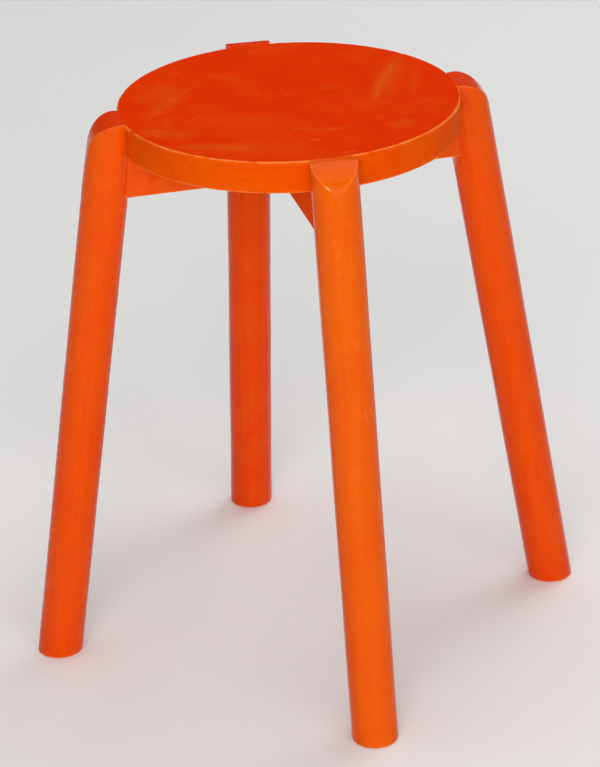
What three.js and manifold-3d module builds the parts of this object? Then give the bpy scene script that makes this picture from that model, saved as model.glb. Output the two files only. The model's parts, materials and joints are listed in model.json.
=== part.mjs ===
// A tall round-topped wooden stool: a flat round seat between four splayed round legs, on a pair of
// crossed rails. Millimetres, +Z up; the origin is on the floor under the centre of the seat, and the
// legs stand on the diagonals.
import * as THREE from "three";
import { mergeVertices } from "three/addons/utils/BufferGeometryUtils.js";
import Module from "manifold-3d";

// Overall
const SEAT_HEIGHT = 450;
const JOINT_GAP = 0.3; // between any two pieces that touch

// Seat
const SEAT_RADIUS = 132.5;
const SEAT_THICKNESS = 25;
const SEAT_EDGE_RADIUS = 1.5;
const SEAT_BOTTOM = SEAT_HEIGHT - SEAT_THICKNESS;

// Legs
const LEG_RADIUS = 18;
const LEG_AXIS_AT_TOP = 138.5; // from the stool's centre line to the leg's axis, at seat height
const LEG_AXIS_AT_FLOOR = 209.5;
const LEG_BUTT_RADIUS = 131.5; // the upright plane where a leg meets the seat's edge and a rail's end
const SHOULDER_RADIUS = 26; // the rounded outer shoulder at the top of a leg
const SHOULDER_START = 134.7; // where the level top of the leg ends and the shoulder begins
const SHOULDER_END = THREE.MathUtils.degToRad(10); // how far from upright its lower end still leans
const FOOT_CHAMFER = 1.5;

// Crossed rails
const RAIL_WIDTH = 25;
const RAIL_DEPTH = 35;
const RAIL_EDGE_RADIUS = 2;
const RAIL_BOTTOM = SEAT_BOTTOM - RAIL_DEPTH;

// Dowels: one joins each leg to the seat's edge, two join each leg to a rail
const DOWEL_RADIUS = 4;
const DOWEL_IN_LEG = 17;
const DOWEL_IN_BOARD = 21;
const DOWEL_CHAMFER = 1;
const DOWEL_HOLE_SPARE = 1.5; // room for glue at each end of a dowel
const SEAT_DOWEL_HEIGHT = SEAT_BOTTOM + SEAT_THICKNESS / 2;
const RAIL_DOWEL_HEIGHTS = { lower: RAIL_BOTTOM + 10, upper: RAIL_BOTTOM + 26 };

// Screws: two go up through each rail into the seat
const SCREW_FROM_CENTRE = 80;
const SCREW_LENGTH = 38;
const SCREW_RADIUS = 2.25;
const SCREW_TIP = 4;
const SCREW_HEAD_RADIUS = 4.25;
const SCREW_HEAD_HEIGHT = 3.2;
const SCREW_HEAD_CHAMFER = 0.8;
const COUNTERBORE_RADIUS = 5.5;
const COUNTERBORE_DEPTH = 12;

// Facets
const SEAT_SEGMENTS = 96;
const LEG_SEGMENTS = 24;
const SHOULDER_SEGMENTS = 6;
const HOLE_SEGMENTS = 16;
const EDGE_SEGMENTS = 2;

const CORNERS = { back_right: 45, back_left: 135, front_left: 225, front_right: 315 };

const redPaint = () => new THREE.MeshStandardMaterial({ color: 0xd84a10, roughness: 0.5, metalness: 0 });
const bareBeech = () => new THREE.MeshStandardMaterial({ color: 0xc9a06c, roughness: 0.8, metalness: 0 });
const zincSteel = () => new THREE.MeshStandardMaterial({ color: 0xa8a8a0, roughness: 0.4, metalness: 1 });

const wasm = await Module();
wasm.setup();

// Solids are made from closed geometries, joined and cut, and turned back into geometries.
function solid(geometry) {
  const bare = geometry.clone();
  bare.deleteAttribute("normal");
  bare.deleteAttribute("uv");
  const merged = mergeVertices(bare, 1e-4);
  return new wasm.Manifold(
    new wasm.Mesh({
      numProp: 3,
      vertProperties: merged.attributes.position.array,
      triVerts: new Uint32Array(merged.index.array),
    }),
  );
}

function geometryOf(body) {
  const mesh = body.getMesh();
  const geometry = new THREE.BufferGeometry();
  geometry.setAttribute("position", new THREE.BufferAttribute(mesh.vertProperties, 3));
  geometry.setIndex(new THREE.BufferAttribute(mesh.triVerts, 1));
  const faceted = geometry.toNonIndexed();
  faceted.computeVertexNormals();
  return faceted;
}

// A body turned about Z from the +X direction to a corner of the stool.
function atCorner(geometry, degrees) {
  return geometry.clone().rotateZ(THREE.MathUtils.degToRad(degrees));
}

// A round bar along X, from one distance from the centre line to another, at a height.
function barAlongX(radius, from, to, height, chamfer) {
  const corners = [
    [0, from],
    [radius - chamfer, from],
    [radius - chamfer, to],
    [0, to],
  ];
  if (chamfer > 0) corners.splice(2, 0, [radius, from + chamfer], [radius, to - chamfer]);
  const profile = corners.map(([across, along]) => new THREE.Vector2(across, along));
  return new THREE.LatheGeometry(profile, HOLE_SEGMENTS).rotateZ(-Math.PI / 2).translate(0, 0, height);
}

// An upright round bar through (x, 0), from one height to another.
function uprightBar(radius, x, bottom, top) {
  return new THREE.CylinderGeometry(radius, radius, top - bottom, HOLE_SEGMENTS)
    .rotateX(Math.PI / 2)
    .translate(x, 0, (bottom + top) / 2);
}

// --- Dowels ---

const BUTT_ENDS = { board: LEG_BUTT_RADIUS - DOWEL_IN_BOARD, leg: LEG_BUTT_RADIUS + DOWEL_IN_LEG };

function dowel(height) {
  return barAlongX(DOWEL_RADIUS, BUTT_ENDS.board, BUTT_ENDS.leg, height, DOWEL_CHAMFER);
}

function dowelHole(height) {
  return barAlongX(
    DOWEL_RADIUS + JOINT_GAP,
    BUTT_ENDS.board - DOWEL_HOLE_SPARE,
    BUTT_ENDS.leg + DOWEL_HOLE_SPARE,
    height,
    0,
  );
}

// --- Legs ---

// The leg leans outwards, so a level cut through it is an ellipse; the leg is that ellipse raised from
// the floor and sheared. `grow` makes it fatter all round, for cutting a neighbour to fit it.
function leaningBar(grow) {
  const lean = (LEG_AXIS_AT_FLOOR - LEG_AXIS_AT_TOP) / SEAT_HEIGHT;
  const radius = LEG_RADIUS + grow;
  const outline = new THREE.Shape();
  outline.absellipse(0, 0, radius * Math.hypot(1, lean), radius, 0, 2 * Math.PI);
  const above = 10;
  const bar = new THREE.ExtrudeGeometry(outline, {
    depth: SEAT_HEIGHT + above - FOOT_CHAMFER,
    curveSegments: LEG_SEGMENTS,
    bevelSize: FOOT_CHAMFER,
    bevelOffset: -FOOT_CHAMFER,
    bevelThickness: FOOT_CHAMFER,
    bevelSegments: 1,
  });
  bar.translate(0, 0, FOOT_CHAMFER);
  const shear = new THREE.Matrix4().makeShear(0, 0, 0, 0, -lean, 0);
  return bar.applyMatrix4(shear).translate(LEG_AXIS_AT_FLOOR, 0, 0);
}

// What is kept of the leaning bar, seen from the side: an upright inner face, a level top and the
// rounded outer shoulder.
function legSideOutline(innerFace) {
  const wayOut = LEG_AXIS_AT_FLOOR + 2 * LEG_RADIUS;
  const centreHeight = SEAT_HEIGHT - SHOULDER_RADIUS;
  const outline = new THREE.Shape();
  outline.moveTo(innerFace, 0);
  outline.lineTo(wayOut, 0);
  outline.lineTo(wayOut, centreHeight);
  const endHeight = centreHeight + SHOULDER_RADIUS * Math.sin(SHOULDER_END);
  const endOut = SHOULDER_START + SHOULDER_RADIUS * Math.cos(SHOULDER_END);
  const outwards = (endHeight - centreHeight) * Math.tan(SHOULDER_END);
  outline.lineTo(endOut + outwards, centreHeight);
  outline.absarc(SHOULDER_START, centreHeight, SHOULDER_RADIUS, SHOULDER_END, Math.PI / 2, false);
  outline.lineTo(innerFace, SEAT_HEIGHT);
  outline.closePath();
  return outline;
}

function legBlank(grow, innerFace) {
  const width = 3 * LEG_RADIUS;
  const kept = new THREE.ExtrudeGeometry(legSideOutline(innerFace), {
    depth: width,
    curveSegments: SHOULDER_SEGMENTS,
    bevelEnabled: false,
  });
  kept.rotateX(Math.PI / 2).translate(0, width / 2, 0);
  return solid(leaningBar(grow)).intersect(solid(kept));
}

function leg() {
  const heights = [SEAT_DOWEL_HEIGHT, ...Object.values(RAIL_DOWEL_HEIGHTS)];
  return heights.reduce(
    (body, height) => body.subtract(solid(dowelHole(height))),
    legBlank(0, LEG_BUTT_RADIUS + JOINT_GAP / 2),
  );
}

// --- Seat ---

function seatDisc() {
  const quarter = Math.PI / 2;
  const profile = new THREE.Path();
  profile.moveTo(0, SEAT_BOTTOM);
  profile.lineTo(SEAT_RADIUS - SEAT_EDGE_RADIUS, SEAT_BOTTOM);
  const inset = SEAT_RADIUS - SEAT_EDGE_RADIUS;
  profile.absarc(inset, SEAT_BOTTOM + SEAT_EDGE_RADIUS, SEAT_EDGE_RADIUS, -quarter, 0, false);
  profile.absarc(inset, SEAT_HEIGHT - SEAT_EDGE_RADIUS, SEAT_EDGE_RADIUS, 0, quarter, false);
  profile.lineTo(0, SEAT_HEIGHT);
  return new THREE.LatheGeometry(profile.getPoints(EDGE_SEGMENTS), SEAT_SEGMENTS).rotateX(Math.PI / 2);
}

function seat() {
  const outside = 20;
  const flatCut = new THREE.BoxGeometry(outside, 4 * LEG_RADIUS, 2 * SEAT_THICKNESS);
  flatCut.translate(LEG_BUTT_RADIUS - JOINT_GAP / 2 + outside / 2, 0, SEAT_DOWEL_HEIGHT);
  let body = solid(seatDisc());
  for (const degrees of Object.values(CORNERS)) {
    body = body.subtract(solid(atCorner(flatCut, degrees)));
    body = body.subtract(solid(atCorner(dowelHole(SEAT_DOWEL_HEIGHT), degrees)));
    body = body.subtract(solid(atCorner(screwHole(), degrees)));
  }
  return body;
}

// --- Screws ---

const SCREW_HEAD_TOP = RAIL_BOTTOM + COUNTERBORE_DEPTH - JOINT_GAP;

function screw() {
  const tipHeight = SCREW_HEAD_TOP + SCREW_LENGTH;
  const profile = [
    new THREE.Vector2(0, SCREW_HEAD_TOP - SCREW_HEAD_HEIGHT),
    new THREE.Vector2(SCREW_HEAD_RADIUS - SCREW_HEAD_CHAMFER, SCREW_HEAD_TOP - SCREW_HEAD_HEIGHT),
    new THREE.Vector2(SCREW_HEAD_RADIUS, SCREW_HEAD_TOP - SCREW_HEAD_HEIGHT + SCREW_HEAD_CHAMFER),
    new THREE.Vector2(SCREW_HEAD_RADIUS, SCREW_HEAD_TOP),
    new THREE.Vector2(SCREW_RADIUS, SCREW_HEAD_TOP),
    new THREE.Vector2(SCREW_RADIUS, tipHeight - SCREW_TIP),
    new THREE.Vector2(0, tipHeight),
  ];
  const body = new THREE.LatheGeometry(profile, HOLE_SEGMENTS).rotateX(Math.PI / 2);
  return body.translate(SCREW_FROM_CENTRE, 0, 0);
}

function screwHole() {
  const top = SCREW_HEAD_TOP + SCREW_LENGTH + JOINT_GAP;
  return uprightBar(SCREW_RADIUS + JOINT_GAP, SCREW_FROM_CENTRE, RAIL_BOTTOM, top);
}

// --- Rails ---

// The rails halve into each other at the centre: `notchFrom` and `notchTo` are the heights between
// which this one is cut away to let the other through.
function rail(notchFrom, notchTo) {
  const top = SEAT_BOTTOM - JOINT_GAP;
  const halfLength = LEG_AXIS_AT_TOP;
  const section = new THREE.Shape();
  const half = RAIL_WIDTH / 2;
  const r = RAIL_EDGE_RADIUS;
  section.absarc(half - r, top - r, r, 0, Math.PI / 2, false);
  section.absarc(r - half, top - r, r, Math.PI / 2, Math.PI, false);
  section.absarc(r - half, RAIL_BOTTOM + r, r, Math.PI, 1.5 * Math.PI, false);
  section.absarc(half - r, RAIL_BOTTOM + r, r, 1.5 * Math.PI, 2 * Math.PI, false);
  section.closePath();
  const beam = new THREE.ExtrudeGeometry(section, {
    depth: 2 * halfLength,
    curveSegments: EDGE_SEGMENTS,
    bevelEnabled: false,
  });
  beam.rotateX(Math.PI / 2).rotateZ(Math.PI / 2).translate(-halfLength, 0, 0);
  const notchWidth = RAIL_WIDTH + 2 * JOINT_GAP;
  const notch = new THREE.BoxGeometry(notchWidth, 2 * RAIL_WIDTH, notchTo - notchFrom);
  notch.translate(0, 0, (notchFrom + notchTo) / 2);
  const counterbore = uprightBar(
    COUNTERBORE_RADIUS,
    SCREW_FROM_CENTRE,
    RAIL_BOTTOM - COUNTERBORE_DEPTH,
    RAIL_BOTTOM + COUNTERBORE_DEPTH,
  );
  let body = solid(beam).subtract(solid(notch));
  // Each end is scribed to its leg: flat in the middle, and hollowed where the leg's side is round.
  const legSpace = geometryOf(legBlank(JOINT_GAP, LEG_BUTT_RADIUS - JOINT_GAP / 2));
  const cuts = [legSpace, counterbore, screwHole(), ...Object.values(RAIL_DOWEL_HEIGHTS).map(dowelHole)];
  for (const end of [0, 180]) {
    for (const cut of cuts) {
      body = body.subtract(solid(atCorner(cut, end)));
    }
  }
  return body;
}

// --- The stool ---

const stool = new THREE.Group();

function add(name, geometry, material, degrees = 0) {
  const mesh = new THREE.Mesh(geometry, material);
  mesh.name = name;
  mesh.rotation.z = THREE.MathUtils.degToRad(degrees);
  stool.add(mesh);
}

add("seat", geometryOf(seat()), redPaint());

const lapHeight = RAIL_BOTTOM + RAIL_DEPTH / 2;
const overlap = 10;
const overRail = rail(RAIL_BOTTOM - overlap, lapHeight + JOINT_GAP / 2);
const underRail = rail(lapHeight - JOINT_GAP / 2, SEAT_BOTTOM + overlap);
add("cross_rail_over", geometryOf(overRail), redPaint(), CORNERS.back_right);
add("cross_rail_under", geometryOf(underRail), redPaint(), CORNERS.back_left);

const legGeometry = geometryOf(leg());
for (const [corner, degrees] of Object.entries(CORNERS)) {
  add(`leg_${corner}`, legGeometry, redPaint(), degrees);
  add(`seat_dowel_${corner}`, dowel(SEAT_DOWEL_HEIGHT), bareBeech(), degrees);
  for (const [level, height] of Object.entries(RAIL_DOWEL_HEIGHTS)) {
    add(`rail_dowel_${level}_${corner}`, dowel(height), bareBeech(), degrees);
  }
  add(`seat_screw_${corner}`, screw(), zincSteel(), degrees);
}

export default stool;
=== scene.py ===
"""A tall orange-painted stool: fine meshes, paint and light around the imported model.

The painted pieces and the screws are rebuilt here with eased edges and small irregularities, at the
places and sizes that the frame gives; the dowels are the frame's own solids. Metres, +Z up.
"""

import json
import math
from typing import NamedTuple

import bmesh
import bpy
import numpy as np
from mathutils import Euler, Matrix, Vector


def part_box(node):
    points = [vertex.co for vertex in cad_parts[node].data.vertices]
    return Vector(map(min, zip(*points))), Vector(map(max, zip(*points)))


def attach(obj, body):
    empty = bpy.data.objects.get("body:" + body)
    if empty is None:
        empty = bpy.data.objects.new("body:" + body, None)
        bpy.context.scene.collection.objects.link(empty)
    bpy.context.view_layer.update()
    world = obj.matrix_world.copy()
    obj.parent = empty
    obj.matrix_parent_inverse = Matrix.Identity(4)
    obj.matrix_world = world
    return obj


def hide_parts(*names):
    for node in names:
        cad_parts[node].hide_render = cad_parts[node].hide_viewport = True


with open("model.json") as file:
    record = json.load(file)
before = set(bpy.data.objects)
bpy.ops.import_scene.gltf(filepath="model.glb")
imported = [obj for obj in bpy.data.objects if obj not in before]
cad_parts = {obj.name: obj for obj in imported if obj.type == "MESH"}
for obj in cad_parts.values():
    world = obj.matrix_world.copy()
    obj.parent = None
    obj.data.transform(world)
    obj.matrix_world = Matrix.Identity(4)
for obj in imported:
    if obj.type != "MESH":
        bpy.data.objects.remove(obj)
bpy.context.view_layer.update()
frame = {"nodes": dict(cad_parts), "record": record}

MM = 0.001
GAP = 0.3 * MM  # between pieces that touch
WELD = 0.002 * MM
CORNERS = {"back_right": 45, "back_left": 135, "front_left": 225, "front_right": 315}

# --- Sizes, from the frame ---


def reach(name, degrees):
    """How near the centre line a node comes, and how far out it goes, along a level direction."""
    direction = Vector((math.cos(math.radians(degrees)), math.sin(math.radians(degrees)), 0))
    along = [direction.dot(v.co) for v in frame["nodes"][name].data.vertices]
    return min(along), max(along)


seat_low, seat_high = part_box("seat")
screw_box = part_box("seat_screw_back_right")
rail_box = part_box("cross_rail_over")
foot = next(m["pos_m"] for m in frame["record"]["mounts"] if m["name"] == "foot_back_right")
SEAT_TOP = seat_high.z
SEAT_BOTTOM = seat_low.z
SEAT_RADIUS = seat_high.x
RAIL_BOTTOM = rail_box[0].z
RAIL_TOP = rail_box[1].z
RAIL_WIDTH = 2 * reach("cross_rail_over", 135)[1]
LEG_OUT_AT_FLOOR = math.hypot(foot[0], foot[1])
LEG_RADIUS = reach("leg_back_right", 135)[1]
BUTT_OUT = reach("leg_back_right", 45)[0] - GAP / 2  # the upright plane between a leg and the seat
DOWEL_IN, DOWEL_OUT = reach("seat_dowel_back_right", 45)
DOWEL_RADIUS = reach("seat_dowel_back_right", 135)[1]
SCREW_OUT = sum(reach("seat_screw_back_right", 45)) / 2
SCREW_HEAD_RADIUS = reach("seat_screw_back_right", 135)[1]
SCREW_BOTTOM = screw_box[0].z
SCREW_TOP = screw_box[1].z

# --- Sizes of shapes that the boxes don't tell, as in the CAD part ---

LEG_OUT_AT_TOP = 138.5 * MM
DOWEL_SPARE = 1.5 * MM  # how far a dowel's hole runs past each of its ends
SCREW_HOLE_RADIUS = 2.55 * MM
COUNTERBORE_RADIUS = 5.5 * MM
COUNTERBORE_DEPTH = 12 * MM
CUTTER_SPARE = 5 * MM  # how far a cutter reaches past the face that it enters

# --- Eased edges and small irregularities of the handmade piece ---

SEAM = 0.12 * MM  # what shows of a joint once it is painted over
SEAT_ARRIS = 1.2 * MM
SHOULDER_ARRIS = 0.8 * MM
FOOT_ARRIS = 1.8 * MM
RAIL_ARRIS = 1.3 * MM


class Shoulder(NamedTuple):
    """The rounded outer side of a leg's top. Lengths are in mm, and its turn about Z in degrees."""

    radius: float
    start: float  # how far out the level top ends and the arc begins
    turn: float = 0
    proud: float = 0  # how far the leg's top stands above the seat
    soft_tip: float = 0  # how much more the edge is eased at the shoulder's lower tip


PLAIN_SHOULDER = Shoulder(26, 134.7)  # the CAD part's
SHOULDERS = {
    "back_right": Shoulder(27, 133.8, turn=-6),
    "back_left": Shoulder(26, 134.7, turn=-5, proud=0.3),
    "front_left": Shoulder(24, 134.8, turn=-5, proud=1.4),
    "front_right": Shoulder(31, 131.6, turn=-9, soft_tip=0.9),
}
BEYOND_LEG = 45 * MM  # a ray from a leg's middle line is well outside the leg after this length
TIP_TOP = SEAT_TOP - 9 * MM  # a soft tip begins here, and is at its softest from TIP_LOW down
TIP_LOW = SEAT_TOP - 16 * MM
SEAT_SEED = 11
FIRST_LEG_SEED = 3

# How far each leg leans to the light orange at its top, painted light that is strongest on the front leg, and
# how red its level top is, painted shade.
LEG_PAINTED_LIGHT_AND_SHADE = {
    "back_right": (0.38, 0.8),
    "back_left": (0.32, 0.8),
    "front_left": (0.4, 0.9),
    "front_right": (0.78, 0.25),
}
FOOT_PAINTED_SHADE = 0.25  # painted shade: how much less each leg leans to the light orange at its foot, so that it is redder there
SEAT_TONE = 0.4
SEAT_GRAIN = 31  # degrees from +X that the board's grain runs along
NICKS = 26
SCUFFS = 12

LEAN = (LEG_OUT_AT_FLOOR - LEG_OUT_AT_TOP) / SEAT_TOP  # how far in a leg comes for each metre up
UPRIGHTNESS = math.cos(math.atan(LEAN))  # turns a level distance into one square to a leg


# --- Small helpers for numbers ---


def smoothstep(low, high, x):
    """0 at low, 1 at high and a smooth change between; low may be the larger of the two."""
    t = np.clip((x - low) / (high - low), 0, 1)
    return t * t * (3 - 2 * t)


def ripple(rng, points, wavelength, waves=7):
    """A smooth random field over points, about -1 to 1, with waves near the given length."""
    total = np.zeros(len(points))
    for _ in range(waves):
        direction = rng.normal(size=3)
        direction /= np.linalg.norm(direction)
        length = wavelength * rng.uniform(0.7, 1.6)
        total += np.sin(points @ direction * 2 * math.pi / length + rng.uniform(0, 2 * math.pi))
    return total / math.sqrt(waves)


def turned(points, degrees):
    """Points turned about Z from the +X direction to a corner of the stool."""
    a = math.radians(degrees)
    turn = np.array([[math.cos(a), -math.sin(a), 0], [math.sin(a), math.cos(a), 0], [0, 0, 1]])
    return points @ turn.T


# --- Small helpers for meshes ---


def grid_faces(rows, columns, start=0):
    """Quads of a grid of rows that each close on themselves."""
    faces = []
    for i in range(rows - 1):
        for j in range(columns):
            k = (j + 1) % columns
            low, high = start + i * columns, start + (i + 1) * columns
            faces.append((low + j, low + k, high + k, high + j))
    return faces


def closed_rows(rows):
    """Vertices and faces of a closed body from rings of points; its first and last rings shrink to points."""
    columns = len(rows[0])
    vertices = np.concatenate([rows[0].mean(0)[None], *rows[1:-1], rows[-1].mean(0)[None]])
    faces = grid_faces(len(rows) - 2, columns, 1)
    last = len(vertices) - 1
    for j in range(columns):
        k = (j + 1) % columns
        faces.append((0, 1 + k, 1 + j))
        faces.append((last, last - columns + j, last - columns + k))
    return vertices, faces


def new_object(name, vertices, faces):
    """A mesh object in the scene, with its faces turned outwards."""
    mesh = bpy.data.meshes.new(name)
    mesh.from_pydata([tuple(v) for v in vertices], [], faces)
    mesh.validate()
    piece = bpy.data.objects.new(name, mesh)
    bpy.context.scene.collection.objects.link(piece)
    bm = bmesh.new()
    bm.from_mesh(mesh)
    bmesh.ops.recalc_face_normals(bm, faces=bm.faces)
    bm.to_mesh(mesh)
    bm.free()
    return piece


def cut_by_plane(piece, point, outward):
    """Cuts away what lies outward of a plane, and closes the cut with one flat face."""
    bm = bmesh.new()
    bm.from_mesh(piece.data)
    geometry = bm.verts[:] + bm.edges[:] + bm.faces[:]
    cut = bmesh.ops.bisect_plane(
        bm, geom=geometry, dist=1e-7, plane_co=point, plane_no=outward, clear_outer=True
    )
    edges = [e for e in cut["geom_cut"] if isinstance(e, bmesh.types.BMEdge)]
    bmesh.ops.contextual_create(bm, geom=edges)
    bmesh.ops.recalc_face_normals(bm, faces=bm.faces)
    bm.to_mesh(piece.data)
    bm.free()


def bar(radius, start, end, sides=32):
    """Rings of a plain round bar between two points, as a closed body."""
    axis = Vector(end) - Vector(start)
    across = axis.orthogonal().normalized()
    other = axis.cross(across).normalized()
    angles = np.linspace(0, 2 * math.pi, sides, endpoint=False)
    ring = radius * (np.outer(np.cos(angles), across) + np.outer(np.sin(angles), other))
    low, high = np.array(start), np.array(end)
    return closed_rows([0 * ring + low, ring + low, ring + high, 0 * ring + high])


def joined(bodies):
    """The vertices and faces of several bodies, as if of one."""
    vertices, faces, start = [], [], 0
    for body_vertices, body_faces in bodies:
        vertices.append(body_vertices)
        faces += [tuple(i + start for i in face) for face in body_faces]
        start += len(body_vertices)
    return np.concatenate(vertices), faces


def weld(piece):
    """Joins points that all but touch, as a cut can leave them."""
    bm = bmesh.new()
    bm.from_mesh(piece.data)
    bmesh.ops.remove_doubles(bm, verts=bm.verts, dist=WELD)
    bm.to_mesh(piece.data)
    bm.free()


def subtract(piece, bodies):
    """Cuts closed bodies out of a piece."""
    cutter = new_object("cutter", *joined(bodies))
    cut = piece.modifiers.new("cut", "BOOLEAN")
    cut.operation = "DIFFERENCE"
    cut.solver = "EXACT"
    cut.object = cutter
    with bpy.context.temp_override(object=piece, active_object=piece, selected_objects=[piece]):
        bpy.ops.object.modifier_apply(modifier=cut.name)
    bpy.data.objects.remove(cutter)
    weld(piece)


def coordinates(piece):
    """A piece's points, one to a row."""
    co = np.empty(len(piece.data.vertices) * 3)
    piece.data.vertices.foreach_get("co", co)
    return co.reshape(-1, 3)


def give_value(piece, name, values):
    """Gives each point of a piece a number that its material reads."""
    attribute = piece.data.attributes.new(name, "FLOAT", "POINT")
    attribute.data.foreach_set("value", np.asarray(values, np.float32))


def give_vector(piece, name, vectors):
    """Gives each point of a piece a vector that its material reads."""
    attribute = piece.data.attributes.new(name, "FLOAT_VECTOR", "POINT")
    attribute.data.foreach_set("vector", np.asarray(vectors, np.float32).ravel())


def shade(piece, sharp_from=50):
    """Shades a piece smooth, but for edges that turn by more than some degrees."""
    piece.data.shade_smooth()
    piece.data.set_sharp_from_angle(angle=math.radians(sharp_from))


def settle(piece, slot, material, *nodes):
    """A finished piece: its material, its body, and the CAD nodes it stands for."""
    piece.data.materials.clear()
    piece.data.materials.append(material)
    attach(piece, "root")
    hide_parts(*nodes)


# --- Joinery that the fine pieces are bored for ---

SEAT_DOWEL_Z = (SEAT_TOP + SEAT_BOTTOM) / 2


def dowel_height(level):
    """How high the rails' dowels of one level lie."""
    low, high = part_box(f"rail_dowel_{level}_back_right")
    return (low.z + high.z) / 2


RAIL_DOWEL_Z = [dowel_height(level) for level in ("lower", "upper")]


def dowel_hole(height, degrees):
    """A bar to bore with, for the dowel that lies at a height in one corner's direction."""
    inner = DOWEL_IN - DOWEL_SPARE
    outer = DOWEL_OUT + DOWEL_SPARE
    ends = turned(np.array([[inner, 0, height], [outer, 0, height]]), degrees)
    return bar(DOWEL_RADIUS + GAP, ends[0], ends[1])


def upright_bar(radius, low, high, degrees, sides):
    """A bar along a screw's middle line, for the screw that lies in one corner's direction."""
    ends = turned(np.array([[SCREW_OUT, 0, low], [SCREW_OUT, 0, high]]), degrees)
    return bar(radius, ends[0], ends[1], sides)


def screw_hole(degrees):
    """A bar to bore with, from a rail's underside up past the screw's point."""
    return upright_bar(SCREW_HOLE_RADIUS, RAIL_BOTTOM - GAP, SCREW_TOP + GAP, degrees, 32)


def counterbore(degrees):
    """A wide bar to bore the room for a screw's head with, from below."""
    low, high = RAIL_BOTTOM - CUTTER_SPARE, RAIL_BOTTOM + COUNTERBORE_DEPTH
    return upright_bar(COUNTERBORE_RADIUS, low, high, degrees, 48)


# --- Legs ---


def round_max(a, b, radius):
    """The larger of two signed distances, with the corner between them rounded."""
    corner = np.hypot(np.maximum(a + radius, 0), np.maximum(b + radius, 0))
    return np.minimum(-radius, np.maximum(a, b)) + corner


def shoulder_end(radius, start, centre):
    """How far a shoulder's arc comes down, as an angle up from level: almost to the bar's outer side."""
    lean = math.atan(LEAN)
    centre_radial = (start - LEG_OUT_AT_FLOOR + LEAN * centre) * UPRIGHTNESS
    meeting = lean + math.acos(min(1, (LEG_RADIUS - centre_radial) / radius))
    steepest = lean + math.radians(3.5)
    return max(meeting - math.radians(1), steepest)


def leg_fields(points, shoulder):
    """Signed distances to a +X leg's round bar and to its shoulder: a level top, an arc and a slope."""
    out, across, z = points.T
    radial = (out - LEG_OUT_AT_FLOOR + LEAN * z) * UPRIGHTNESS
    round_bar = np.hypot(radial, across) - LEG_RADIUS
    radius, start, proud = shoulder.radius * MM, shoulder.start * MM, shoulder.proud * MM
    turn = math.radians(shoulder.turn)
    turned_out = (out - LEG_OUT_AT_TOP) * math.cos(turn) + across * math.sin(turn) + LEG_OUT_AT_TOP
    centre = SEAT_TOP + proud - radius
    beyond = turned_out - start
    above = z - centre
    angle = np.arctan2(above, beyond)
    last = shoulder_end(radius, start, centre)
    lower = beyond * math.cos(last) + above * math.sin(last) - radius
    arc = np.where(angle < last, lower, np.hypot(beyond, above) - radius)
    return round_bar, np.where(angle > math.pi / 2, above - radius, arc)


def leg_distance(points, grow, shoulder, wobble):
    """Signed distance to a +X leg before its inner face is cut. wobble is its unevenness."""
    round_bar, cut = leg_fields(points, shoulder)
    tip = smoothstep(TIP_TOP, TIP_LOW, points[:, 2])
    shaped = round_max(round_bar - grow + wobble, cut, SHOULDER_ARRIS + shoulder.soft_tip * MM * tip)
    return round_max(shaped, -points[:, 2], FOOT_ARRIS)


def foot_rises(level):
    """Angles up from level of the rays that make a foot: from straight down, out and up its side."""
    steps = np.linspace(0, 1, 14)
    down_side = level * steps**0.6
    across_foot = LEG_RADIUS * (1 - steps**1.6)
    straight_down = [-math.pi / 2]
    under = -np.arctan2(level, across_foot[::-1][1:])
    beside = -np.arctan2(down_side[::-1][1:-1], LEG_RADIUS)
    return np.concatenate([straight_down, under, beside])


def leg_rays(columns, body_rows, cap_rows):
    """Where the rays start, on the leg's middle line, and their directions, row by row from the foot."""
    foot_level, top_level = 15 * MM, SEAT_TOP - 17 * MM
    foot = foot_rises(foot_level)
    cap = np.linspace(0, math.pi / 2, cap_rows + 1)[1:]
    rises = np.concatenate([foot, np.zeros(body_rows), cap])
    body_levels = np.linspace(foot_level, top_level, body_rows)
    levels = np.concatenate([np.full(len(foot), foot_level), body_levels, np.full(cap_rows, top_level)])
    angles = np.linspace(0, 2 * math.pi, columns, endpoint=False)
    rise, angle = np.meshgrid(rises, angles, indexing="ij")
    level = np.repeat(levels[:, None], columns, 1)
    direction = np.stack([np.cos(rise) * np.cos(angle), np.cos(rise) * np.sin(angle), np.sin(rise)], -1)
    origin = np.stack([LEG_OUT_AT_FLOOR - LEAN * level, 0 * level, level], -1)
    return origin.reshape(-1, 3), direction.reshape(-1, 3)


def leg_body(shoulder=PLAIN_SHOULDER, grow=0.0, rng=None, columns=240, body_rows=150, cap_rows=60):
    """Rays from the leg's middle line out to its surface, ring by ring from the foot to the top."""
    origin, direction = leg_rays(columns, body_rows, cap_rows)
    wobble = 0.0
    if rng is not None:
        skin = origin + direction * LEG_RADIUS
        wobble = 0.12 * MM * ripple(rng, skin * [1, 1, 0.4], 50 * MM)
        wobble += 0.012 * MM * ripple(rng, skin * [1, 1, 0.2], 12 * MM)
    near, far = np.zeros(len(origin)), np.full(len(origin), BEYOND_LEG)
    for _ in range(32):
        middle = (near + far) / 2
        inside = leg_distance(origin + direction * middle[:, None], grow, shoulder, wobble) < 0
        near, far = np.where(inside, middle, near), np.where(inside, far, middle)
    points = origin + direction * ((near + far) / 2)[:, None]
    return closed_rows(list(points.reshape(-1, columns, 3)))


def edge_between(a, b, width):
    """1 along the rounded edge where two surfaces meet, and 0 away from it. a and b are distances to them."""
    near_both = smoothstep(2 * width, width, np.maximum(-a, -b))
    return smoothstep(width, 0.2 * width, np.abs(a - b)) * near_both


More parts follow.
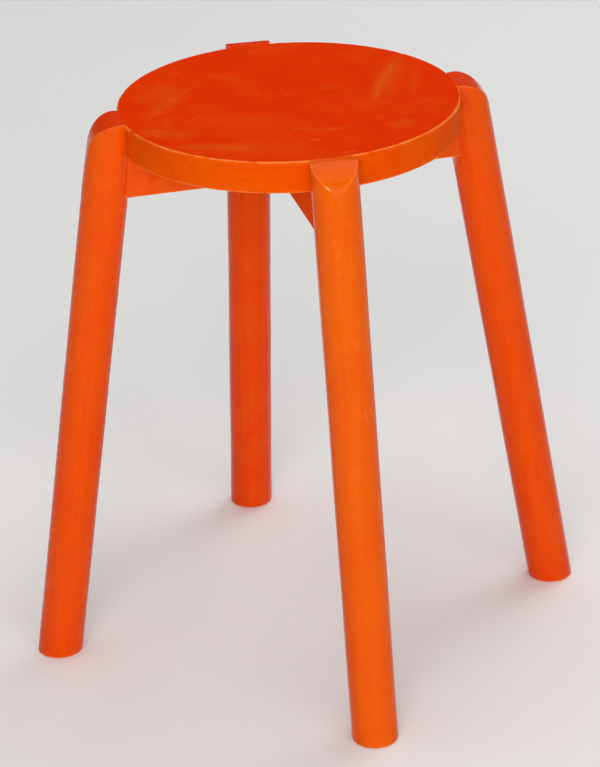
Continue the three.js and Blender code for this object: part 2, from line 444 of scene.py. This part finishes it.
def leg_wear_and_glint(local, shoulder):
    """How rubbed a leg's surface is, with a painted highlight on the same edges: along the shoulder's edges,
    the inner face's edges and the foot.
    """
    out, _, z = local.T
    round_bar, cut = leg_fields(local, shoulder)
    near_top = smoothstep(SEAT_TOP - 20 * MM, SEAT_TOP - 6 * MM, z)
    shoulder_edge = 0.6 * edge_between(round_bar, cut, 0.8 * MM) * near_top
    inner_edge = 0.45 * edge_between(round_bar, BUTT_OUT - out, 0.7 * MM)
    foot_edge = 0.6 * edge_between(round_bar, -z, 2 * MM)
    return np.maximum(shoulder_edge, np.maximum(inner_edge, foot_edge))


def leg_upness(local, shoulder, most):
    """How much of the seat top's red, a painted shade, a leg takes: most on its level top, fading down its
    shoulder.
    """
    cut = leg_fields(local, shoulder)[1]
    level = smoothstep(SEAT_TOP - 10 * MM, SEAT_TOP - 0.3 * MM, local[:, 2])
    return most * level * smoothstep(-1.2 * MM, -0.2 * MM, cut)


def leg_smudge(rng, local):
    """Small scuffs: short slanted strokes on the outer side of the leg's upper half."""
    strength = np.zeros(len(local))
    angle = np.arctan2(local[:, 1], local[:, 0] - LEG_OUT_AT_FLOOR + LEAN * local[:, 2])
    for _ in range(SCUFFS):
        height = SEAT_TOP * rng.uniform(0.5, 0.93)
        around = rng.normal(0, 0.7)
        off = (angle - around + math.pi) % (2 * math.pi) - math.pi
        slant = rng.uniform(-1, 1)
        beside, above = off * LEG_RADIUS, local[:, 2] - height
        along = above * math.cos(slant) + beside * math.sin(slant)
        across = beside * math.cos(slant) - above * math.sin(slant)
        length = rng.uniform(1.5, 3) * MM
        width = rng.uniform(0.6, 1) * MM
        strength += rng.uniform(0.2, 0.8) * np.exp(-((across / width) ** 2) - (along / length) ** 2)
    return np.clip(strength, 0, 1)


def give_leg_looks(piece, corner, rng, seed):
    """What the paint reads along a leg that lies in the +X direction."""
    local = coordinates(piece)
    shoulder = SHOULDERS[corner]
    give_value(piece, "wear_and_glint", leg_wear_and_glint(local, shoulder))
    light_tone, most_red = LEG_PAINTED_LIGHT_AND_SHADE[corner]
    # face_up: how much of the top's red painted shade the leg takes
    give_value(piece, "face_up", leg_upness(local, shoulder, most_red))
    # The tone is painted light and shade: lighter on the front leg, redder towards the foot.
    give_value(piece, "tone", light_tone - FOOT_PAINTED_SHADE * (1 - local[:, 2] / SEAT_TOP))
    give_value(piece, "smudge", leg_smudge(rng, local))
    out, across, z = local.T
    grain = np.stack([out - LEG_OUT_AT_FLOOR + LEAN * z, across, z], -1)
    give_vector(piece, "grain", grain + [0.37 * seed, 0.21 * seed, 0])


def make_leg(corner, degrees, seed, material):
    """A leg, made in the +X direction and then turned to its corner."""
    rng = np.random.default_rng(seed)
    piece = new_object(f"leg_{corner}_bar", *leg_body(SHOULDERS[corner], rng=rng))
    cut_by_plane(piece, (BUTT_OUT + SEAM / 2, 0, 0), (-1, 0, 0))
    subtract(piece, [dowel_hole(z, 0) for z in [SEAT_DOWEL_Z, *RAIL_DOWEL_Z]])
    give_leg_looks(piece, corner, rng, seed)
    piece.data.transform(Matrix.Rotation(math.radians(degrees), 4, "Z"))
    shade(piece)
    settle(piece, "frame_paint", material, f"leg_{corner}")
    return piece


# --- Seat ---

# Rub marks on the seat's top, in mm: middle x and y, direction in degrees, length, width, bend, strength.
SEAT_MARKS = [
    (44, 68, 109, 120, 4, -0.12, 0.9),
    (50, 72, 111, 90, 9, -0.12, 0.45),
    (66, 80, 115, 60, 3, -0.1, 0.5),
    (-78, -55, 95, 70, 7, 0.15, 0.6),
    (-98, -35, 85, 50, 14, 0.2, 0.5),
    (0, -112, 25, 60, 7, -0.1, 0.7),
    (-45, -104, 20, 50, 9, 0.1, 0.6),
    (40, -95, 35, 70, 14, 0, 0.35),
    (55, -46, 30, 45, 4, 0.5, 0.5),
    (104, -8, 60, 26, 8, 0, 0.5),
    (10, -60, 30, 80, 22, 0, 0.25),
    (98, -77, 45, 14, 1.3, 0, 1),
    (63, -65, 32, 10, 1.6, 0, 1),
    (-54, -102, 20, 9, 1.6, 0, 1),
    (-6, 7, 32, 5, 1.4, 0, 0.8),
    (-70, 95, 60, 60, 10, 0.1, 0.3),
]


def seat_profile():
    """The board's outline from its middle underneath, round its eased edge, to its middle on top."""
    inset = SEAT_RADIUS - SEAT_ARRIS
    quarter = np.linspace(0, math.pi / 2, 9)
    inner = np.linspace(0, inset, 111)[:-1]
    side = np.linspace(SEAT_BOTTOM + SEAT_ARRIS, SEAT_TOP - SEAT_ARRIS, 12)[1:-1]
    profile = [(r, SEAT_BOTTOM) for r in inner[::4]]
    for a in quarter:
        profile.append((inset + SEAT_ARRIS * math.sin(a), SEAT_BOTTOM + SEAT_ARRIS * (1 - math.cos(a))))
    profile += [(SEAT_RADIUS, z) for z in side]
    for a in quarter:
        profile.append((inset + SEAT_ARRIS * math.cos(a), SEAT_TOP - SEAT_ARRIS * (1 - math.sin(a))))
    return profile + [(r, SEAT_TOP) for r in inner[::-1]]


def seat_body(rng, columns=480):
    """The board, a little hollow here and there, with small dents along its edges."""
    profile = seat_profile()
    angles = np.linspace(0, 2 * math.pi, columns, endpoint=False)
    around = np.stack([np.cos(angles), np.sin(angles)], -1)
    points = np.concatenate([np.column_stack([around * r, np.full(columns, z)]) for r, z in profile])
    outward = np.hypot(points[:, 0], points[:, 1])
    rim = smoothstep(SEAT_RADIUS - 6 * MM, SEAT_RADIUS, outward)
    hollows = ripple(rng, points, 70 * MM) - 1.5
    points[:, 2] += (1 - rim) * 0.12 * MM * hollows * (points[:, 2] > SEAT_TOP - MM)
    swell = 0.1 * MM * (ripple(rng, points * [1, 1, 2], 45 * MM) - 1.5) * rim
    points[:, :2] *= (1 + swell / np.maximum(outward, MM))[:, None]
    for _ in range(NICKS):
        nick(rng, points)
    return closed_rows(list(points.reshape(len(profile), columns, 3)))


def nick(rng, points):
    """A small dent in the seat's upper or lower arris."""
    angle = rng.uniform(0, 2 * math.pi)
    level = SEAT_TOP if rng.uniform() < 0.7 else SEAT_BOTTOM
    centre = np.array([SEAT_RADIUS * math.cos(angle), SEAT_RADIUS * math.sin(angle), level])
    size = rng.uniform(1.5, 4) * MM
    depth = rng.uniform(0.1, 0.35) * MM
    away = np.linalg.norm(points - centre, axis=1)
    inward = np.array([-math.cos(angle), -math.sin(angle), -0.7 if level == SEAT_TOP else 0.7])
    points += np.exp(-((away / size) ** 2))[:, None] * depth * inward


def seat_smudge(local):
    """How marked the seat's top is, from the rub marks above."""
    strength = np.zeros(len(local))
    for x, y, degrees, length, width, bend, weight in SEAT_MARKS:
        a = math.radians(degrees)
        dx, dy = local[:, 0] / MM - x, local[:, 1] / MM - y
        along = dx * math.cos(a) + dy * math.sin(a)
        across = -dx * math.sin(a) + dy * math.cos(a) - bend * along**2 / length
        ends = smoothstep(0.62 * length, 0.2 * length, np.abs(along))
        strength += weight * ends * np.exp(-((across / width) ** 2))
    return np.clip(strength, 0, 1) * (local[:, 2] > SEAT_TOP - 2 * MM)


def give_seat_looks(piece):
    """What the paint reads on the seat."""
    local = coordinates(piece)
    outward = np.hypot(local[:, 0], local[:, 1])
    from_corner = SEAT_RADIUS - outward + np.minimum(SEAT_TOP - local[:, 2], local[:, 2] - SEAT_BOTTOM)
    # The band along the arrises is partly rubbed paint and partly a painted highlight.
    give_value(piece, "wear_and_glint", smoothstep(1.5 * MM, 0.7 * MM, from_corner))
    # face_up: where the seat's top takes the red painted shade
    give_value(piece, "face_up", smoothstep(SEAT_TOP - 1.2 * MM, SEAT_TOP - 0.5 * MM, local[:, 2]))
    give_value(piece, "smudge", seat_smudge(local))
    give_value(piece, "tone", SEAT_TONE + 0 * outward)
    along_grain = turned(local, -SEAT_GRAIN)
    give_vector(piece, "grain", along_grain[:, [1, 2, 0]])


def make_seat(material):
    """The board, cut flat where the legs meet it and bored for its dowels and screws."""
    piece = new_object("seat_board", *seat_body(np.random.default_rng(SEAT_SEED)))
    for degrees in CORNERS.values():
        outward = turned(np.array([[1.0, 0, 0]]), degrees)[0]
        cut_by_plane(piece, tuple(outward * (BUTT_OUT - SEAM / 2)), tuple(outward))
    holes = [dowel_hole(SEAT_DOWEL_Z, degrees) for degrees in CORNERS.values()]
    holes += [screw_hole(degrees) for degrees in CORNERS.values()]
    subtract(piece, holes)
    give_seat_looks(piece)
    shade(piece)
    settle(piece, "seat_paint", material, "seat")
    return piece


# --- Crossed rails ---


def rail_body():
    """A beam along X with eased edges, longer than the rail."""
    half_width, low, high = RAIL_WIDTH / 2, RAIL_BOTTOM, RAIL_TOP
    quarter = np.linspace(0, math.pi / 2, 7)
    section = []
    corners = [(1, 1), (-1, 1), (-1, -1), (1, -1)]
    for turn, (y, z) in enumerate(corners):
        centre_y = y * (half_width - RAIL_ARRIS)
        centre_z = (high - RAIL_ARRIS) if z > 0 else (low + RAIL_ARRIS)
        for a in quarter + turn * math.pi / 2:
            section.append((centre_y + RAIL_ARRIS * math.cos(a), centre_z + RAIL_ARRIS * math.sin(a)))
    section = np.array(section)
    stations = np.linspace(-LEG_OUT_AT_TOP, LEG_OUT_AT_TOP, 95)
    rows = [np.column_stack([np.full(len(section), x), section]) for x in stations]
    return closed_rows([rows[0], *rows, rows[-1]])


def box_body(low, high):
    """Vertices and faces of a plain box, for cutting."""
    corners = [(x, y, z) for x in (low[0], high[0]) for y in (low[1], high[1]) for z in (low[2], high[2])]
    faces = [(0, 1, 3, 2), (4, 6, 7, 5), (0, 4, 5, 1), (2, 3, 7, 6), (0, 2, 6, 4), (1, 5, 7, 3)]
    return np.array(corners), faces


def leg_cutter(degrees):
    """The plain leg at one end of a rail along X, a seam's width larger all round, for cutting."""
    cutter = new_object("end_cutter", *leg_body(grow=SEAM, columns=96, body_rows=60, cap_rows=24))
    cut_by_plane(cutter, (BUTT_OUT - SEAM / 2, 0, 0), (-1, 0, 0))
    cutter.data.transform(Matrix.Rotation(math.radians(degrees), 4, "Z"))
    body = coordinates(cutter), [tuple(p.vertices) for p in cutter.data.polygons]
    bpy.data.objects.remove(cutter)
    return body


def give_rail_looks(piece, grain_offset):
    """What the paint reads on a rail that lies along X: it has no marks, and none of the top's red painted
    shade.
    """
    local = coordinates(piece)
    from_side = RAIL_WIDTH / 2 - np.abs(local[:, 1])
    from_face = np.minimum(local[:, 2] - RAIL_BOTTOM, RAIL_TOP - local[:, 2])
    # The band along the edges is partly rubbed paint and partly a painted highlight.
    give_value(piece, "wear_and_glint", smoothstep(1.6 * MM, 0.6 * MM, from_side + from_face))
    for name in ("face_up", "smudge", "tone"):
        give_value(piece, name, 0 * from_side)
    give_vector(piece, "grain", np.stack([local[:, 1] + grain_offset, local[:, 2], local[:, 0]], -1))


def make_rail(name, degrees, notch_low, notch_high, grain_offset, material):
    """A rail, made along X: the notch halves it into the other, from one height to another."""
    piece = new_object(f"{name}_bar", *rail_body())
    half_notch = RAIL_WIDTH / 2 + GAP
    notch = box_body((-half_notch, -RAIL_WIDTH, notch_low), (half_notch, RAIL_WIDTH, notch_high))
    ends = (0, 180)
    subtract(piece, [notch])
    for end in ends:
        subtract(piece, [leg_cutter(end)])
    subtract(piece, [dowel_hole(z, end) for z in RAIL_DOWEL_Z for end in ends])
    subtract(piece, [screw_hole(end) for end in ends])
    subtract(piece, [counterbore(end) for end in ends])
    give_rail_looks(piece, grain_offset)
    piece.data.transform(Matrix.Rotation(math.radians(degrees), 4, "Z"))
    shade(piece, 35)
    settle(piece, "frame_paint", material, name)
    return piece


# --- Screws ---

SCREW_CORE = 1.55 * MM  # radius at the bottom of the thread
SCREW_CREST = 2.2 * MM  # and at its crest
SCREW_PITCH = 2.2 * MM
SCREW_HEAD_DOME = 2.2 * MM  # how far the head's round side rises
SCREW_POINT = 5 * MM
SCREW_TURN = 20  # degrees, from its corner's direction to its cross slot
SLOT_HALF_LENGTH = 2.4 * MM
SLOT_HALF_WIDTH = 0.45 * MM
SLOT_DEPTH = 1.9 * MM


def thread_radius(angles, z, start):
    """The radius of a screw at a height, all round: plain under its head, then threaded, then pointed."""
    phase = (z / SCREW_PITCH - angles / (2 * math.pi)) % 1
    ridge = np.clip(1 - np.abs(phase - 0.5) * 4, 0, 1)
    taper = smoothstep(SCREW_TOP, SCREW_TOP - SCREW_POINT, z)
    started = smoothstep(start + MM, start + 5 * MM, z)
    height = SCREW_CREST - SCREW_CORE
    radius = (SCREW_CORE + height * ridge * started + height * (1 - started)) * taper
    return np.maximum(radius, 0.1 * MM)


def make_screw(corner, degrees, material):
    """A screw with its round head down in the counterbore and its point up in the seat."""
    centre = turned(np.array([[SCREW_OUT, 0, 0]]), degrees)[0]
    head_top = RAIL_BOTTOM + COUNTERBORE_DEPTH - GAP
    angles = np.linspace(0, 2 * math.pi, 36, endpoint=False)

    def ring(radius, z):
        x, y = centre[0] + radius * np.cos(angles), centre[1] + radius * np.sin(angles)
        return np.column_stack([x, y, z + 0 * angles])

    rows = [ring(0, SCREW_BOTTOM)]
    for a in np.linspace(0.15, 1, 8) * math.pi / 2:
        rise = SCREW_HEAD_DOME * (1 - math.cos(a))
        rows.append(ring(SCREW_HEAD_RADIUS * math.sin(a), SCREW_BOTTOM + rise))
    rows += [ring(SCREW_HEAD_RADIUS, head_top), ring(SCREW_CREST, head_top)]
    for z in np.linspace(head_top + MM, SCREW_TOP - 0.3 * MM, 140):
        rows.append(ring(thread_radius(angles, z, head_top), z))
    rows.append(ring(0, SCREW_TOP))
    piece = new_object(f"seat_screw_{corner}_steel", *closed_rows(rows))
    slot_low = (-SLOT_HALF_LENGTH, -SLOT_HALF_WIDTH, SCREW_BOTTOM - MM)
    slot_high = (SLOT_HALF_LENGTH, SLOT_HALF_WIDTH, SCREW_BOTTOM + SLOT_DEPTH)
    vertices, faces = box_body(slot_low, slot_high)
    for turn in (0, 90):
        placed = turned(vertices, degrees + SCREW_TURN + turn) + [centre[0], centre[1], 0]
        subtract(piece, [(placed, faces)])
    shade(piece, 40)
    settle(piece, "screw_steel", material, f"seat_screw_{corner}")
    return piece


# --- Materials ---

# The paint's colours, as shown on a display, 0 to 255.
SIDE_DARK = (229, 62, 1)
SIDE_LIGHT = (239, 103, 3)
# The top colours are painted shade: the side colours made darker and redder for what faces up.
SHADED_TOP_DARK = (232, 48, 1)
SHADED_TOP_LIGHT = (237, 60, 2)
GRAIN_LINE = (196, 38, 4)
SIDE_CHALK = (252, 172, 92)
# The top's chalk is darker and redder: painted shade, as with the top colours.
SHADED_TOP_CHALK = (226, 118, 28)
SCRATCH = (246, 150, 70)
# Pale edges: partly rubbed paint and partly a painted highlight.
RUBBED_AND_GLINT = (252, 150, 66)
RUBBED_ROUGHNESS = 0.16


def linear(red, green, blue):
    """A display colour, 0 to 255, as the shader's linear colour."""
    channels = [c / 255 for c in (red, green, blue)]
    return [c / 12.92 if c <= 0.04045 else ((c + 0.055) / 1.055) ** 2.4 for c in channels] + [1]


class Shader:
    """A material's node tree, with short calls for the nodes used here."""

    def __init__(self, name):
        self.material = bpy.data.materials.new(name)
        self.material.use_nodes = True
        self.tree = self.material.node_tree
        self.surface = self.tree.nodes["Principled BSDF"]

    def node(self, kind, inputs=(), **settings):
        made = self.tree.nodes.new(kind)
        for key, value in settings.items():
            setattr(made, key, value)
        for socket, value in dict(inputs).items():
            self.put(made.inputs[socket], value)
        return made

    def put(self, socket, value):
        """Links a socket to another's output, or gives it a plain value."""
        if isinstance(value, bpy.types.NodeSocket):
            self.tree.links.new(value, socket)
        else:
            socket.default_value = value

    def attribute(self, name):
        return self.node("ShaderNodeAttribute", attribute_name=name)

    def place(self):
        return self.node("ShaderNodeTexCoord").outputs["Object"]

    def scaled(self, vector, scale, turn=(0, 0, 0)):
        inputs = {"Vector": vector, "Scale": scale, "Rotation": turn}
        return self.node("ShaderNodeMapping", inputs).outputs["Vector"]

    def noise(self, vector, scale, detail=3, roughness=0.55, distortion=0.0):
        inputs = {
            "Vector": vector,
            "Scale": scale,
            "Detail": detail,
            "Roughness": roughness,
            "Distortion": distortion,
        }
        return self.node("ShaderNodeTexNoise", inputs).outputs["Fac"]

    def ramp(self, value, low, high, to_low=0.0, to_high=1.0):
        """A smooth change from to_low to to_high while value goes from low to high."""
        inputs = {"Value": value, "From Min": low, "From Max": high, "To Min": to_low, "To Max": to_high}
        return self.node("ShaderNodeMapRange", inputs, interpolation_type="SMOOTHSTEP").outputs["Result"]

    def math(self, operation, *values):
        return self.node("ShaderNodeMath", enumerate(values), operation=operation).outputs["Value"]

    def mix(self, factor, a, b):
        made = self.node("ShaderNodeMix", data_type="RGBA")
        self.put(made.inputs["Factor"], factor)
        self.put(made.inputs["A"], a)
        self.put(made.inputs["B"], b)
        return made.outputs["Result"]

    def bump(self, height, distance, strength=1.0, normal=None):
        """The surface's normal with a relief added, whose depth is distance, in metres."""
        inputs = {"Height": height, "Distance": distance, "Strength": strength}
        if normal is not None:
            inputs["Normal"] = normal
        return self.node("ShaderNodeBump", inputs).outputs["Normal"]


def scratches(shader, vector, turn, scale, threshold):
    """Thin lines: a noise stretched along one direction, kept only where it peaks."""
    stretched = shader.scaled(vector, (scale, scale * 0.02, scale), (0, 0, turn))
    lines = shader.noise(stretched, 1.0, 2, 0.5)
    patches = shader.noise(vector, 22.0 + 3 * turn, 2, 0.5)
    thin = shader.ramp(lines, threshold, threshold + 0.05)
    return shader.math("MULTIPLY", thin, shader.ramp(patches, 0.52, 0.62))


def paint_tones(s, place, grain):
    """The paint's unevenness: cloudy tone, fine mottle, brush streaks and the wood's pores."""
    blotches = s.ramp(s.noise(place, 22.0, 4, 0.6, 0.4), 0.34, 0.66)
    mottle = s.ramp(s.noise(place, 190.0, 4, 0.65), 0.36, 0.64)
    streaks = s.ramp(s.noise(s.scaled(grain, (330, 330, 8)), 1.0, 4, 0.6), 0.34, 0.66)
    pores = s.noise(s.scaled(grain, (1500, 1500, 45)), 1.0, 2, 0.5)
    fine = s.math("MULTIPLY_ADD", mottle, 0.25, s.math("MULTIPLY", streaks, 0.3))
    tone = s.math("MULTIPLY_ADD", blotches, 0.35, fine)
    return tone, mottle, streaks, pores


def grain_lines(s, grain, pores):
    """Where the wood's darker lines show through the paint."""
    lines = s.noise(s.scaled(grain, (120, 120, 3.5)), 1.0, 3, 0.5)
    return s.math("MULTIPLY", s.ramp(lines, 0.635, 0.67), s.ramp(pores, 0.3, 0.6, 0.4, 1.0))


def paint_chalk(s, place, face_up, smudge):
    """How chalky the paint is: a haze on what faces up, and the rub marks."""
    haze_noise = s.noise(s.scaled(place, (1, 1.5, 1), (0, 0, 0.6)), 17.0, 5, 0.62, 0.7)
    haze = s.math("MULTIPLY", s.ramp(haze_noise, 0.45, 0.75), 0.37)
    broken = s.ramp(s.noise(place, 260.0, 4, 0.75, 0.8), 0.3, 0.62, 0.35, 1.0)
    rub = s.math("MULTIPLY", smudge, broken)
    return s.math("MAXIMUM", s.math("MULTIPLY", haze, face_up), rub)


def paint_bumps(s, place, streaks, pores, lines):
    """Brush streaks, pores, the paint's own skin and the scratches, as relief."""
    skin = s.noise(place, 420.0, 2, 0.5)
    body = s.bump(streaks, 0.000015)
    body = s.bump(pores, 0.000015, 1.0, body)
    body = s.bump(skin, 0.00002, 1.0, body)
    return s.bump(s.math("SUBTRACT", 1.0, lines), 0.00004, 1.0, body)


def paint(name, smoothest, shine, level_roughness=0.0):
    """Satin enamel on wood, read from attributes: orange on the sides, with painted light and shade in the
    tone, a red painted shade where it faces up, and pale edges that are partly wear and partly a painted
    highlight.
    """
    s = Shader(name)
    place = s.place()
    grain = s.attribute("grain").outputs["Vector"]
    wear_and_glint = s.attribute("wear_and_glint").outputs["Fac"]
    smudge = s.attribute("smudge").outputs["Fac"]
    face_up = s.attribute("face_up").outputs["Fac"]
    leaning = s.attribute("tone").outputs["Fac"]

    tone, mottle, streaks, pores = paint_tones(s, place, grain)
    # The tone attribute leans the sides lighter or redder: painted light and shade on the legs.
    side_tone = s.math("MULTIPLY_ADD", s.math("SUBTRACT", tone, 0.45), 0.45, leaning)
    side = s.mix(side_tone, linear(*SIDE_DARK), linear(*SIDE_LIGHT))
    # What faces up takes the red top colours: painted shade.
    top = s.mix(tone, linear(*SHADED_TOP_DARK), linear(*SHADED_TOP_LIGHT))
    colour = s.mix(face_up, side, top)
    colour = s.mix(s.math("MULTIPLY", grain_lines(s, grain, pores), 0.14), colour, linear(*GRAIN_LINE))

    chalk = paint_chalk(s, place, face_up, smudge)
    # Chalk on what faces up is darker and redder: painted shade.
    pale = s.mix(face_up, linear(*SIDE_CHALK), linear(*SHADED_TOP_CHALK))
    colour = s.mix(s.math("MULTIPLY", chalk, 0.46), colour, pale)
    one_way = scratches(s, place, 0.5, 900.0, 0.65)
    other_way = scratches(s, place, 2.1, 1100.0, 0.65)
    lines = s.math("MAXIMUM", one_way, other_way)
    colour = s.mix(s.math("MULTIPLY", lines, 0.2), colour, linear(*SCRATCH))
    # Pale edges, partly rubbed paint and partly a painted highlight on the arrises.
    rubbed_and_glint = s.math("MULTIPLY", wear_and_glint, s.ramp(s.noise(place, 150.0, 4, 0.65), 0.25, 0.55, 0.5, 1.0))
    colour = s.mix(s.math("MULTIPLY", rubbed_and_glint, 0.85), colour, linear(*RUBBED_AND_GLINT))

    roughness = s.ramp(mottle, 0.0, 1.0, smoothest, smoothest + 0.04)
    roughness = s.math("ADD", roughness, s.math("MULTIPLY", chalk, 0.25))
    roughness = s.math("MULTIPLY_ADD", face_up, level_roughness, roughness)
    smoother = s.math("MULTIPLY", rubbed_and_glint, 0.6 * (smoothest - RUBBED_ROUGHNESS))
    roughness = s.math("SUBTRACT", roughness, smoother)

    s.put(s.surface.inputs["Base Color"], colour)
    s.put(s.surface.inputs["Roughness"], roughness)
    s.put(s.surface.inputs["Normal"], paint_bumps(s, place, streaks, pores, lines))
    s.surface.inputs["Specular IOR Level"].default_value = shine
    s.surface.inputs["Specular Tint"].default_value = (1, 0.8, 0.65, 1)
    return s.material


def bare_wood(name):
    """Cut beech: pale, with streaks along Z and short dark flecks."""
    dark, light, fleck = linear(196, 150, 104), linear(224, 186, 140), linear(150, 104, 66)
    s = Shader(name)
    place = s.place()
    rings = s.noise(s.scaled(place, (500, 500, 60)), 1.0, 4, 0.6)
    flecks = s.noise(s.scaled(place, (1800, 1800, 300)), 1.0, 2, 0.6)
    colour = s.mix(s.ramp(rings, 0.3, 0.7), dark, light)
    colour = s.mix(s.math("MULTIPLY", s.ramp(flecks, 0.55, 0.7), 0.5), colour, fleck)
    s.put(s.surface.inputs["Base Color"], colour)
    s.put(s.surface.inputs["Roughness"], s.ramp(rings, 0.3, 0.7, 0.6, 0.75))
    s.put(s.surface.inputs["Normal"], s.bump(flecks, 0.00005))
    return s.material


def zinc(name):
    """Zinc-plated steel with a faint bloom."""
    dull, bright = linear(168, 170, 166), linear(206, 204, 190)
    s = Shader(name)
    place = s.place()
    bloom = s.noise(place, 900.0, 4, 0.6)
    s.put(s.surface.inputs["Base Color"], s.mix(s.ramp(bloom, 0.35, 0.7), dull, bright))
    s.put(s.surface.inputs["Roughness"], s.ramp(bloom, 0.3, 0.7, 0.28, 0.45))
    s.put(s.surface.inputs["Normal"], s.bump(s.noise(place, 2500.0, 2), 0.00002))
    s.surface.inputs["Metallic"].default_value = 1.0
    return s.material


def pale_floor(name):
    """A matt ground, almost white."""
    s = Shader(name)
    grey = s.noise(s.place(), 3.0, 3)
    s.put(s.surface.inputs["Base Color"], s.mix(grey, [0.86, 0.86, 0.85, 1], [0.9, 0.9, 0.89, 1]))
    s.surface.inputs["Roughness"].default_value = 0.7
    return s.material


# --- The object ---

seat_paint = paint("seat_paint", smoothest=0.5, shine=0.01)
leg_paint = paint("leg_paint", smoothest=0.11, shine=0.12, level_roughness=0.35)
rail_paint = paint("rail_paint", smoothest=0.6, shine=0.0)
beech = bare_wood("bare_beech")
steel = zinc("zinc_steel")

make_seat(seat_paint)
for seed, (corner, degrees) in enumerate(CORNERS.items(), FIRST_LEG_SEED):
    make_leg(corner, degrees, seed, leg_paint)
    make_screw(corner, degrees, steel)
lap = (RAIL_BOTTOM + RAIL_TOP + GAP) / 2
below, above = RAIL_BOTTOM - 2 * CUTTER_SPARE, RAIL_TOP + 2 * CUTTER_SPARE
make_rail("cross_rail_over", CORNERS["back_right"], below, lap + GAP / 2, 1.3, rail_paint)
make_rail("cross_rail_under", CORNERS["back_left"], lap - GAP / 2, above, 2.7, rail_paint)

for name, node in frame["nodes"].items():
    if "dowel" in name:
        node.data.materials.clear()
        node.data.materials.append(beech)


# --- Floor, light and camera ---

FLOOR_HALF = 12.0
FLOOR_LINES = 13  # of its grid, each way
VIEW_AZIMUTH = 32  # degrees
CAMERA_AWAY = 2.32
CAMERA_HEIGHT = 1.3064
CAMERA_DOWN = 25.344  # degrees below level
CAMERA_ROLL = -2.315  # degrees
CAMERA_LENS = 150.22  # millimetres
WORLD_STRENGTH = 0.03


def in_direction(azimuth, elevation, distance):
    """A point around the stool: azimuth 0 is in front of it, on the -Y side, and 90 is on the +X side."""
    a, e = math.radians(azimuth), math.radians(elevation)
    flat = distance * math.cos(e)
    return Vector((flat * math.sin(a), -flat * math.cos(a), distance * math.sin(e)))


def soft_box(name, azimuth, elevation, distance, size, power, aim=0.3):
    """A round soft light of so many watts, facing the stool's centre line at the height of aim."""
    light = bpy.data.lights.new(name, "AREA")
    light.shape = "DISK"
    light.size = size
    light.energy = power
    lamp = bpy.data.objects.new(name, light)
    target = Vector((0, 0, aim))
    lamp.location = target + in_direction(azimuth, elevation, distance)
    lamp.rotation_euler = (target - lamp.location).to_track_quat("-Z", "Y").to_euler()
    bpy.context.scene.collection.objects.link(lamp)
    return lamp


def far_light(name, azimuth, elevation, breadth, energy):
    """Even light from far away, as from a bright patch so many degrees across."""
    light = bpy.data.lights.new(name, "SUN")
    light.energy = energy
    light.angle = math.radians(breadth)
    lamp = bpy.data.objects.new(name, light)
    lamp.rotation_euler = in_direction(azimuth, elevation, 1).to_track_quat("Z", "Y").to_euler()
    bpy.context.scene.collection.objects.link(lamp)


def make_floor():
    """Level ground at height 0, as a grid of squares."""
    steps = np.linspace(-FLOOR_HALF, FLOOR_HALF, FLOOR_LINES)
    vertices = [(x, y, 0) for x in steps for y in steps]
    faces = []
    for i in range(FLOOR_LINES - 1):
        for j in range(FLOOR_LINES - 1):
            near, far = i * FLOOR_LINES + j, (i + 1) * FLOOR_LINES + j
            faces.append((near, far, far + 1, near + 1))
    floor = new_object("floor", vertices, faces)
    floor.data.materials.append(pale_floor("pale_floor"))


make_floor()
far_light("key", VIEW_AZIMUTH + 20, 21, breadth=60, energy=1.14)
far_light("overhead", VIEW_AZIMUTH + 175, 80, breadth=70, energy=1.32)
catch = soft_box("catch", VIEW_AZIMUTH - 14, 17, distance=2.4, size=0.07, power=18, aim=0.4)
catch.visible_diffuse = False  # it gives the gloss its highlights, and casts no shadow of its own
soft_box("left", VIEW_AZIMUTH - 75, 30, distance=2.6, size=1.6, power=1.5)
front = soft_box("front", VIEW_AZIMUTH - 11, 24, distance=3.4, size=2.2, power=46)
front.visible_glossy = False  # it lights the paint without a sheet of glare
soft_box("back", VIEW_AZIMUTH + 140, 42, distance=2.8, size=2, power=18)

world = bpy.data.worlds.new("studio")
bpy.context.scene.world = world
world.use_nodes = True
world.node_tree.nodes["Background"].inputs["Color"].default_value = (1, 0.98, 0.96, 1)
world.node_tree.nodes["Background"].inputs["Strength"].default_value = WORLD_STRENGTH

camera = bpy.data.cameras.new("camera")
camera.lens = CAMERA_LENS
camera_object = bpy.data.objects.new("camera", camera)
camera_object.location = in_direction(VIEW_AZIMUTH, 0, CAMERA_AWAY) + Vector((0, 0, CAMERA_HEIGHT))
look = Euler((math.radians(90 - CAMERA_DOWN), 0, math.radians(VIEW_AZIMUTH))).to_matrix()
camera_object.rotation_euler = (look @ Matrix.Rotation(math.radians(CAMERA_ROLL), 3, "Z")).to_euler()
bpy.context.scene.collection.objects.link(camera_object)
bpy.context.scene.camera = camera_object

bpy.context.scene.view_settings.view_transform = "Standard"
